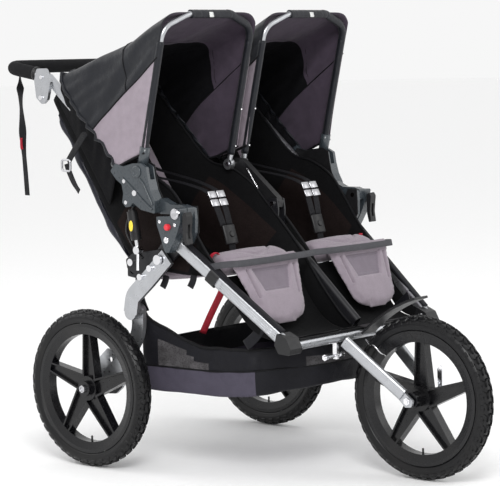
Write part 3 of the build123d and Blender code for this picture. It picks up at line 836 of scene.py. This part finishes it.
def make_seat_pad():
    """Mauve cushion with a crowned front roll, a stitched U and pulled-in corners."""
    loop = curve_through([Vector((0, y, z)) for y, z in PAD_PROFILE], 4, closed=True)
    middle = Vector((0, 80, 515))
    rings = []
    for k in range(15):
        share = 2 * k / 14 - 1
        shrink = 1.0 - 0.10 * abs(share) ** 6
        ring = []
        for p in loop:
            q = middle + (p - middle) * shrink
            ring.append(at(SEAT_X + 122 * share, q.y, q.z))
        rings.append(ring)
    piece = loft("seat_pad_cushion_right", rings, MAUVE)
    inflate(piece, 0.006, 4.0, 0.007)

    def seams(p):
        x, y = p.x * 1000 - SEAT_X, p.y * 1000 - MID_SHIFT
        ring = math.hypot(x / 92, (y - 60) / 84)
        top = 1.0 if p.z > 0.5 else 0.0
        return top * (-0.0045 * bump_at((ring - 1) * 88, 7) - 0.003 * bump_at(y - 178, 6)
                      + 0.004 * bump_at(ring * 60, 60))

    return move_vertices(piece, seams)


FLAP_DOWN = Vector((0, -66, -156)).normalized()
FLAP_OUT = Vector((0, -0.92, 0.39))
FLAP_TOP = (-184.0, -48.0, 546.0)


def flap_point(x, s, t):
    """A point of a calf flap: x across from its middle, s down it, t forwards, in millimetres."""
    return at(*FLAP_TOP) + (Vector((x, 0, 0)) + FLAP_DOWN * s + FLAP_OUT * t) / 1000


def make_calf_flap():
    """The mauve flap over the calves: tapered and rounded, with a sunk panel and two slits."""
    rings = []
    for k in range(14):
        share = k / 13
        s = -6 + 190 * share
        half = 135 - 54 * share ** 1.2
        curl = 5 * share ** 2
        if share > 0.80:
            half *= math.sqrt(max(0.05, 1 - ((share - 0.80) / 0.22) ** 2))
        depth = 6.0 * min(1.0, 0.4 + min(share, 1 - share) * 9)
        rings.append(pillow_ring(lambda a, b, s=s, curl=curl: flap_point(a, s, b + curl), half, depth, 1.0))
    piece = loft("calf_flap_cushion_right", rings, MAUVE)
    inflate(piece, 0.005, 4.0, 0.006)

    def measure(p):
        """How far a point is across the flap, down it, inside its panel and in front of it."""
        off = (p - at(*FLAP_TOP)) * 1000
        s = off.dot(FLAP_DOWN)
        return off.x, s, min(70 - 0.42 * (s - 34) - abs(off.x), s - 34, 92 - s), off.dot(FLAP_OUT)

    def sunk(p):
        x, s, inside, front = measure(p)
        if front < 0:
            return 0.0
        panel = -0.0075 * min(1.0, max(0.0, inside / 6)) - 0.0055 * bump_at(inside, 5)
        slit = -0.0095 * bump_at(abs(x) - (96 - 0.20 * s), 7) * (1 if 34 < s < 108 else 0)
        return panel + slit

    def in_panel(p):
        inside, front = measure(p)[2:]
        return 1 if front > 0 and inside > 0 else 0

    move_vertices(piece, sunk)
    # painted shade: faces inside the sunk panel take the darker mauve
    paint(piece, [MAUVE, MAUVE_SHADE], in_panel)
    return piece


def wing_rows(edge, low, way):
    """A seat's side panel from its upper edge line to its lower one; it puffs way, +1 or -1, along X."""
    rows = []
    for k in range(33):
        share = k / 32
        top, base = along(edge, share), along(low, share)
        row = []
        for m in range(15):
            t = m / 14
            puff = 0.010 * math.sin(math.pi * t) * math.sin(math.pi * min(1, share * 1.1))
            p = top.lerp(base, t) + Vector((puff * way, 0, 0))
            row.append(p + Vector((0.004 * noise.noise(p * 11), 0, 0)))
        rows.append(row)
    return rows


def make_wings(word, side):
    """Side panels of each seat, outer and inner, with bound upper edges."""
    outer_top = points((-316, 500, 965), (-317, 440, 940), (-317, 356, 848), (-317, 268, 762), (-316, 196, 742),
                       (-314, 130, 706), (-313, 84, 650), (-314, 40, 584), (-314, 0, 536), (-306, -50, 488),
                       (-300, -104, 442), (-294, -160, 400), (-291, -184, 382))
    outer_low = points((-302, 545, 922), (-302, 497, 848), (-302, 417, 728), (-302, 337, 606), (-304, 268, 524),
                       (-305, 180, 506), (-306, 90, 498), (-309, 20, 500), (-303, -24, 478), (-296, -66, 412),
                       (-288, -100, 372), (-278, -140, 354), (-266, -184, 350))
    inner_top = points((-24, 500, 965), (-24, 440, 940), (-24, 356, 848), (-22, 268, 762), (-18, 192, 742),
                       (-15, 130, 706), (-14, 90, 668), (-14, 30, 608), (-13, -31, 540), (-13, -90, 462),
                       (-13, -150, 394), (-14, -184, 366))
    inner_low = points((-49, 545, 922), (-49, 497, 848), (-49, 417, 728), (-49, 337, 606), (-47, 266, 522),
                       (-45, 180, 508), (-43, 100, 512), (-40, 20, 512), (-24, -24, 478), (-14, -66, 412),
                       (-10, -100, 372), (-10, -140, 354), (-12, -184, 350))
    for name, edge, low, way, rail in (("outer", outer_top, outer_low, 1, "side_rails"),
                                       ("inner", inner_top, inner_low, -1, "centre_rail")):
        top = curve_through(edge, 5)
        rows = wing_rows(top, curve_through(low, 5), way)
        piece = grid(f"seat_wing_{name}_{word}", [flip(r, side) for r in rows], [SEAT_CLOTH, SEAT_MESH],
                     lambda i, j: 1 if 12 <= i <= 20 and 3 <= j <= 12 else 0)
        thicken(refine(piece), 0.0018)
        binding = tube(f"seat_wing_binding_{name}_{word}", flip(top, side), 0.0034, BINDING, 8, 0.8)
        for cloth, slot in ((piece, "black_fabric"), (binding, "webbing")):
            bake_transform(cloth)


def make_footwell(word, side):
    """Sling of black cloth from the seat's front edge to the foot strip."""
    middle_line = points((0, -20, 500), (0, -48, 440), (0, -82, 390), (0, -112, 364), (0, -150, 353),
                         (0, -188, 352), (0, -212, 362.5))
    path = curve_through(middle_line, 4)
    rows = []
    for i, p in enumerate(path):
        share = i / (len(path) - 1)
        outer_x = -300 + 38 * share
        row = []
        for k in range(19):
            t = k / 18
            x = outer_x + (-8 - outer_x) * t
            sag = -4 * math.sin(math.pi * t) * math.sin(math.pi * share)
            row.append(Vector((x / 1000, p.y, p.z + sag / 1000 + 0.002 * noise.noise(
                Vector((x * 0.02, p.y * 14, 1.0))))))
        rows.append(row)
    piece = grid(f"footwell_sling_{word}", [flip(r, side) for r in rows], SEAT_CLOTH)
    thicken(refine(piece), 0.0018)
    finish_off(piece, "lower_frame", "black_fabric", ["footwell_fabric"] if side == 1 else ())


def make_seats():
    right = (make_back_cushion(), make_rear_pocket(), make_seat_pad(), make_calf_flap())
    for word, side in BOTH:
        back, pocket, pad, flap = pieces = right if side == 1 else [
            mirrored(piece, piece.name.replace("right", "left")) for piece in right]
        finish_off(back, f"back_{word}", "black_fabric", [f"seat_back_{word}"])
        finish_off(pocket, f"back_{word}", "black_fabric")
        finish_off(pad, "lower_frame", "mauve_fabric", [f"seat_pad_{word}"])
        finish_off(flap, "lower_frame", "mauve_fabric", ["calf_flaps"] if side == 1 else ())
        make_wings(word, side)
        make_footwell(word, side)
        make_harness(word, side)


def make_harness(word, side):
    """Shoulder and crotch webbing on the buckle, with ladder adjusters."""
    for k, way in enumerate((-1, 1)):
        route = points((-177 + 12 * way, 74, 612), (-180 + 15 * way, 86, 650), (-184 + 17 * way, 106, 690),
                       (-184 + 26 * way, 170, 712), (-178 + 40 * way, 270, 728), (SEAT_X + 50 * way, 350, 740),
                       (SEAT_X + 52 * way, 400, 756))
        belt = strap(f"shoulder_belt_{word}_{k}", flip(curve_through(route, 6), side), 0.022, 0.0018, WEBBING)
        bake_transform(belt)
        for m, (y, z) in enumerate(((92, 668), (101, 688))):
            x = -184 + 16 * way
            ladder = strap(f"belt_adjuster_{word}_{k}_{m}",
                           flip(points((x, y - 6, z - 8), (x, y + 2, z + 8)), side), 0.028, 0.005, STEEL)
            finish_off(rounded(ladder, 0.001), "lower_frame")
    buckle = strap(f"harness_buckle_{word}", flip(points((SEAT_X, 58, 566), (SEAT_X, 62, 580),
                                                         (SEAT_X, 72, 612)), side),
                   0.044, 0.012, BLACK_PLASTIC)
    finish_off(rounded(buckle, 0.003, 3), "lower_frame", replaces=[f"harness_{word}"])
    riding_strap(f"crotch_belt_{word}", side, [(SEAT_X, 57, 528), (SEAT_X, 56, 548), (SEAT_X, 60, 572)],
                 (0.024, 0.002), WEBBING, steps=4)
    riding_disc(f"buckle_button_{word}", side, (SEAT_X, 60, 590),
                [(-0.002, 0.008), (0.0030, 0.008), (0.0042, 0.0065)], BLACK_PLASTIC, "lower_frame",
                (0, -0.94, 0.34), 20)


# ---- basket ----
BASKET_PLAN = [(-284, 262), (-281, 190), (-277, 100), (-272, 10), (-264, -62), (-214, -108), (-166, -146),
               (-116, -174), (0, -178)]


def basket_ring():
    """The basket's plan, clockwise from the middle of its front edge round to the same point."""
    right = [Vector((x, y, 0)) for x, y in BASKET_PLAN]
    left = [Vector((-p.x, p.y, 0)) for p in reversed(right[:-1])]
    rear = [Vector((x, 262 + 3 * math.cos(x / 90), 0)) for x in (230, 150, 60, -60, -150, -230)]
    return curve_through(right + left + rear, 4, closed=True)


def basket_heights(p):
    """Floor, band and rim height of the basket at a plan point, in millimetres."""
    forward = max(0.0, min(1.0, (40 - p.y) / 215))
    floor = 196 + 30 * forward ** 1.6
    band = 262 + 16 * forward
    side_rim = 318 + 6 * noise.noise(Vector((p.y * 0.02, 0, 3)))
    to_rear = max(0.0, min(1.0, (p.y - 60) / 200))
    near_side = max(0.0, min(1.0, (abs(p.x) - 190) / 85))
    rim = side_rim + 74 * to_rear ** 1.5 * near_side ** 2 + 8 * forward
    return floor, band, rim


def make_basket():
    """Sewn tub: mauve lower band, black upper band with a net window, and a sagging rim."""
    ring = basket_ring()
    levels = 12
    rows = []
    for share in (0.0, 0.3, 0.6, 0.9):
        rows.append([at(p.x * share, 40 + (p.y - 40) * share, 195 + (basket_heights(p)[0] - 196)
                        * share + 3 * share) for p in ring])
    for k in range(levels + 1):
        t = k / levels
        row = []
        for p in ring:
            floor, band, rim = basket_heights(p)
            z = floor + (band - floor) * min(1.0, t * 2) + (rim - band) * max(0.0, t * 2 - 1)
            out = 1.0 - 0.022 * (1 - t) ** 3 + 0.012 * math.sin(math.pi * t)
            fold = 2.6 * noise.noise(Vector((p.x * 0.018, p.y * 0.018, t * 1.6))) * math.sin(math.pi * t)
            row.append(at(p.x * out + fold, 40 + (p.y - 40) * out, z))
        rows.append(row)
    rows = [row + [row[0]] for row in rows]
    count = len(rows[0])
    lower_end = 4 + levels // 2

    def pick(i, j):
        p = rows[i][j]
        y = p.y * 1000 - MID_SHIFT
        if i < 3:
            return 0
        if i < lower_end:
            return 0 if y > -70 else 1
        side_window = 70 < y < 225 and abs(p.x) > 0.2 and i < lower_end + 1 + (y - 70) / 38
        front_net = y < -150 and i < lower_end + 3
        return 2 if (side_window or front_net) and i < len(rows) - 3 else 1

    verts = [p for row in rows for p in row]
    faces, picks = [], []
    for i in range(len(rows) - 1):
        for j in range(count - 1):
            a = i * count + j
            if i == 0:
                faces.append((a, a + count + 1, a + count))
            else:
                faces.append((a, a + 1, a + count + 1, a + count))
            picks.append(pick(i, j))
    piece = mesh_piece("basket_shell", verts, faces, [BAND_CLOTH, BLACK_CLOTH, BASKET_MESH], picks)
    weld = piece.modifiers.new("weld", "WELD")
    weld.merge_threshold = 0.00005
    thicken(refine(bake(piece)), 0.0018)
    move_vertices(piece, creases(16, 0.004, 7.0))
    finish_off(piece, "lower_frame", "mauve_fabric", ["basket_tub", "basket_mesh"])
    finish_off(tube("basket_rim_binding", rows[-1][:-1], 0.0042, BINDING, 8, 0.7, closed=True), "lower_frame")
    finish_off(tube("basket_band_piping", rows[lower_end][:-1], 0.0022, BINDING, 8, closed=True),
               "lower_frame")
    hanger_size = (0.026, 0.0022)
    for word, side in BOTH:
        riding_strap(f"basket_front_strap_{word}", side, [(-272, -62, 334), (-280, -100, 360),
                                                          (-288, -132, 392), (-293, -150, 408)],
                     hanger_size, BLACK_CLOTH, (0, 0.8, 0.5), slot="webbing")
        riding_strap(f"basket_rear_strap_{word}", side, [(-286, 252, 396), (-292, 262, 430), (-296, 262, 470),
                                                         (-300, 258, 494)],
                     hanger_size, BLACK_CLOTH, (0, 1, 0), slot="webbing")


# ---- straps and small trim ----
def squared(angle):
    """Cosine and sine pulled towards the corners of a square."""
    return [math.copysign(abs(v) ** 0.35, v) for v in (math.cos(angle), math.sin(angle))]


def make_straps():
    half = [(-328, 2, 524), (-326, -24, 530), (-318, -52, 534), (-304, -76, 536), (-250, -79, 536),
            (-175, -79, 536), (-100, -79, 537), (-58, -77, 537), (0, -68, 537)]
    riding_strap("cross_strap_webbing", 1, half + [(-x, y, z) for x, y, z in reversed(half[:-1])],
                 (0.016, 0.002), GREY_WEBBING, (0, 0.25, 1), steps=6, replaces=["cross_strap"])
    riding_strap("fold_pull_strap", 1, [(-200, 140, 340), (-200, 112, 388), (-200, 82, 436), (-200, 52, 486)],
                 (0.017, 0.002), RED_WEBBING, (0.65, -0.76, 0), replaces=["fold_strap"])
    for word, side in BOTH:
        riding_strap(f"pull_loop_{word}", side, [(-300, 24, 540), (-296, 18, 552), (-288, 12, 556),
                                                 (-280, 10, 548), (-276, 14, 540)],
                     (0.010, 0.0016), RED_WEBBING, (0, 1, 0))
        riding_strap(f"recline_strap_{word}", side, [(-346, 366, 862), (-348, 392, 838), (-348, 424, 802),
                                                     (-346, 454, 768)],
                     (0.027, 0.002), WEBBING, (0.35, 0.65, 0.65), "upper_frame")
        corners = [squared(2 * math.pi * k / 24) for k in range(24)]
        ring = [at(-350, 456 + 15 * a, 760 + 14 * b) for a, b in corners]
        finish_off(tube(f"ladder_lock_{word}", flip(ring, side), 0.0030, STEEL, 8, closed=True), "upper_frame")
        riding_strap(f"recline_tail_{word}", side, [(-346, 458, 764), (-343, 452, 742), (-340, 440, 716),
                                                    (-338, 424, 694)],
                     (0.024, 0.002), WEBBING, (0, 0.7, 0.7), "upper_frame")
        for k, (y, z) in enumerate(((59, 502), (150, 496))):
            riding_strap(f"strap_tail_{word}_{k}", side, [(-318, y, z), (-320, y + 2, z - 14),
                                                          (-324, y + 8, z - 30)],
                         (0.020, 0.0018), WEBBING, (0, 1, 0.2), steps=4)


RAIL_TOP, RAIL_LOW = (-341.0, 84.0, 574.0), (-288.0, -193.0, 357.0)


def make_rail_trim():
    """Cloth edge along the top of each side rail and the flutes along its face."""
    top, low = at(*RAIL_TOP), at(*RAIL_LOW)
    above = (low - top).cross(Vector((1, 0, 0))).normalized()
    above *= math.copysign(1.0, above.z)

    def line(start, length, count, off):
        return [top.lerp(low, start + length * k / count) + off for k in range(count + 1)]

    for word, side in BOTH:
        edge = line(0.02, 0.94, 20, above * 0.0178 + Vector((0.002, 0, 0)))
        finish_off(strap(f"rail_cloth_edge_{word}", flip(edge, side), 0.021, 0.0055, BLACK_CLOTH),
                   "lower_frame")
        for k, height in enumerate((-0.006, 0.0, 0.006)):
            flute = line(0.42, 0.52, 10, above * height + Vector((-0.0088, 0, 0)))
            finish_off(tube(f"rail_flute_{word}_{k}", flip(flute, side), 0.0011, SILVER, 8), "lower_frame")


def make_inner_plate(name, side, body, x, outline):
    """A hinge's black inner plate: an outline of (y, z) points, 1.6 mm thick."""
    near, far = [flip([at(level, y, z) for y, z in outline], side) for level in (x, x + 1.6)]
    count = len(outline)
    faces = [tuple(range(count)), tuple(reversed(range(count, 2 * count)))]
    faces += [(k, k + count, (k + 1) % count + count, (k + 1) % count) for k in range(count)]
    plate = mesh_piece(name, near + far, faces, BLACK_PLASTIC, smooth=False)
    finish_off(rounded(plate, 0.0006), body)


def make_bracket_trim():
    """Ribs, knobs and covers on the fold hinges."""
    ribs = [[(140, 672), (156, 700), (170, 724), (182, 736)], [(142, 662), (170, 682), (206, 712), (238, 736)]]
    upper_plate = [(134, 652), (132, 686), (147, 712), (153, 738), (158, 768), (178, 777), (236, 768),
                   (266, 774), (284, 752), (246, 718), (242, 698), (246, 676), (231, 660), (206, 672)]
    lower_plate = [(44, 670), (74, 670), (84, 650), (130, 648), (128, 610), (113, 572), (98, 553), (82, 553),
                   (56, 580), (41, 606)]
    for word, side in BOTH:
        for k, rib in enumerate(ribs):
            riding_tube(f"hinge_rib_{word}_{k}", side, [(-373, y, z) for y, z in rib], 0.0026, GREY_PLASTIC,
                        "upper_frame")
        riding_disc(f"bow_hub_cap_{word}", side, (-372.2, 192, 752),
                    [(0, 0.0150), (0.0022, 0.0150), (0.0040, 0.0125), (0.0040, 0.0080), (0.0024, 0.0075)],
                    GREY_PLASTIC, "upper_frame")
        socket = points((-355, 187, 766), (-355, 180, 796), (-355, 176.5, 812))
        finish_off(tube(f"bow_socket_{word}", flip(socket, side), 0.0132, GREY_PLASTIC, 16), f"canopy_{word}")
        make_inner_plate(f"hinge_inner_plate_upper_{word}", side, "upper_frame", -341.6, upper_plate)
        make_inner_plate(f"hinge_inner_plate_lower_{word}", side, "lower_frame", -316.6, lower_plate)
        riding_disc(f"knob_{word}", side, (-350.0, 268, 760),
                    [(0, 0.010), (0.014, 0.012), (0.020, 0.0105), (0.024, 0.006)], GREY_PLASTIC,
                    "upper_frame", (-0.4 * side, 0.6, 0.6))
        riding_disc(f"fold_cap_ring_{word}", side, (-384.0, 59, 655),
                    [(0, 0.0120), (0.0020, 0.0115), (0.0030, 0.0085), (0.0018, 0.0060)], STEEL, "lower_frame")
        riding_disc(f"lower_bolt_{word}", side, (-378.2, 92, 590),
                    [(0, 0.0080), (0.0020, 0.0078), (0.0034, 0.0050), (0.0020, 0.0035)], CHROME, "lower_frame")
        for k, (y, z) in enumerate(((64, 628), (113, 634))):
            riding_disc(f"hinge_screw_{word}_{k}", side, (-378.2, y, z),
                        [(0, 0.0045), (0.0014, 0.0043), (0.0020, 0.0028)], CHROME, "lower_frame", sides=16)
        label = disc(f"plain_oval_label_{word}", Vector(), (-side, 0, 0),
                     [(0, 0.0080), (0.0008, 0.0078), (0.0010, 0.0070)], LABEL, 24)
        label.data.transform(Matrix.Diagonal((1, 0.85, 1.7, 1)))
        label.location = at(-365.0 * side, 221, 618)
        finish_off(label, f"shock_{word}", "black_plastic")
        for k in range(5):
            share = 0.30 + 0.035 * k
            riding_disc(f"shock_rib_{word}_{k}", side, (-352, 211 + 19 * share, 558 + 102 * share),
                        [(-0.0010, 0.0132), (0, 0.0140), (0.0010, 0.0132)], BLACK_PLASTIC, f"shock_{word}",
                        (0, 0.183, 0.983), 24)
        riding_tube(f"fold_cable_{word}", side, [(-346, 228, 664), (-340, 250, 640), (-338, 262, 600),
                                                 (-334, 240, 560), (-334, 214, 536)],
                    0.0030, BLACK_PLASTIC, steps=8)


def make_handle_trim():
    """Foam grip with end collars, and the joint rivets."""
    route = points((-330, 574, 990.3), (-330, 622, 998.2), (-330, 640, 1001.2), (-324, 662, 1004.8),
                   (-306, 676, 1007.2), (-280, 681, 1008), (-150, 681, 1008), (0, 681, 1008))
    half = curve_through(route, 6)
    path = half + [Vector((-p.x, p.y, p.z)) for p in reversed(half[:-1])]
    grip = tube("foam_grip_cover", path, 0.0172, FOAM, 20,
                shape=lambda t: 1.0 - 0.06 * bump_at(min(t, 1 - t) * 1000, 8) + 0.012 * noise.noise(
                    Vector((t * 60, 0, 0))))
    finish_off(grip, "upper_frame", replaces=["foam_grip"])
    for word, side in BOTH:
        for k, (y, z) in enumerate(((552, 986.8), (566, 989.0))):
            riding_disc(f"handle_rivet_{word}_{k}", side, (-342.2, y, z),
                        [(0, 0.0040), (0.0014, 0.0038), (0.0022, 0.0020)], CHROME, "upper_frame", sides=14)
        collar = points((-330, 571, 989.8), (-330, 577, 990.8))
        finish_off(tube(f"grip_collar_{word}", flip(collar, side), 0.0182, BLACK_PLASTIC, 24), "upper_frame")


def make_front_trim():
    """Fork wire clip and guide wire, and the centre link."""
    riding_tube("wire_clip", 1, [(-10, -226, 330), (-22, -250, 318), (-34, -268, 322), (-30, -284, 306),
                                 (-16, -290, 296)], 0.0020, CHROME)
    riding_strap("centre_link", 1, [(0, 148, 742), (0, 130, 716), (0, 112, 690)], (0.0215, 0.0045), CHROME,
                 body="upper_frame", steps=4)
    riding_tube("fork_guide_wire", 1, [(-60, -212, 334), (-64, -250, 316), (-62, -300, 276),
                                       (-60, -340, 238)], 0.0016, CHROME)


dress_cad_nodes()
make_camera()
make_wrist_strap()
make_studio()
make_wheels()
for side_word, side_sign in BOTH:
    make_hood(side_word, side_sign)
    make_bow_sleeves(side_word, side_sign)
make_seats()
make_basket()
make_straps()
make_rail_trim()
make_bracket_trim()
make_handle_trim()
make_front_trim()
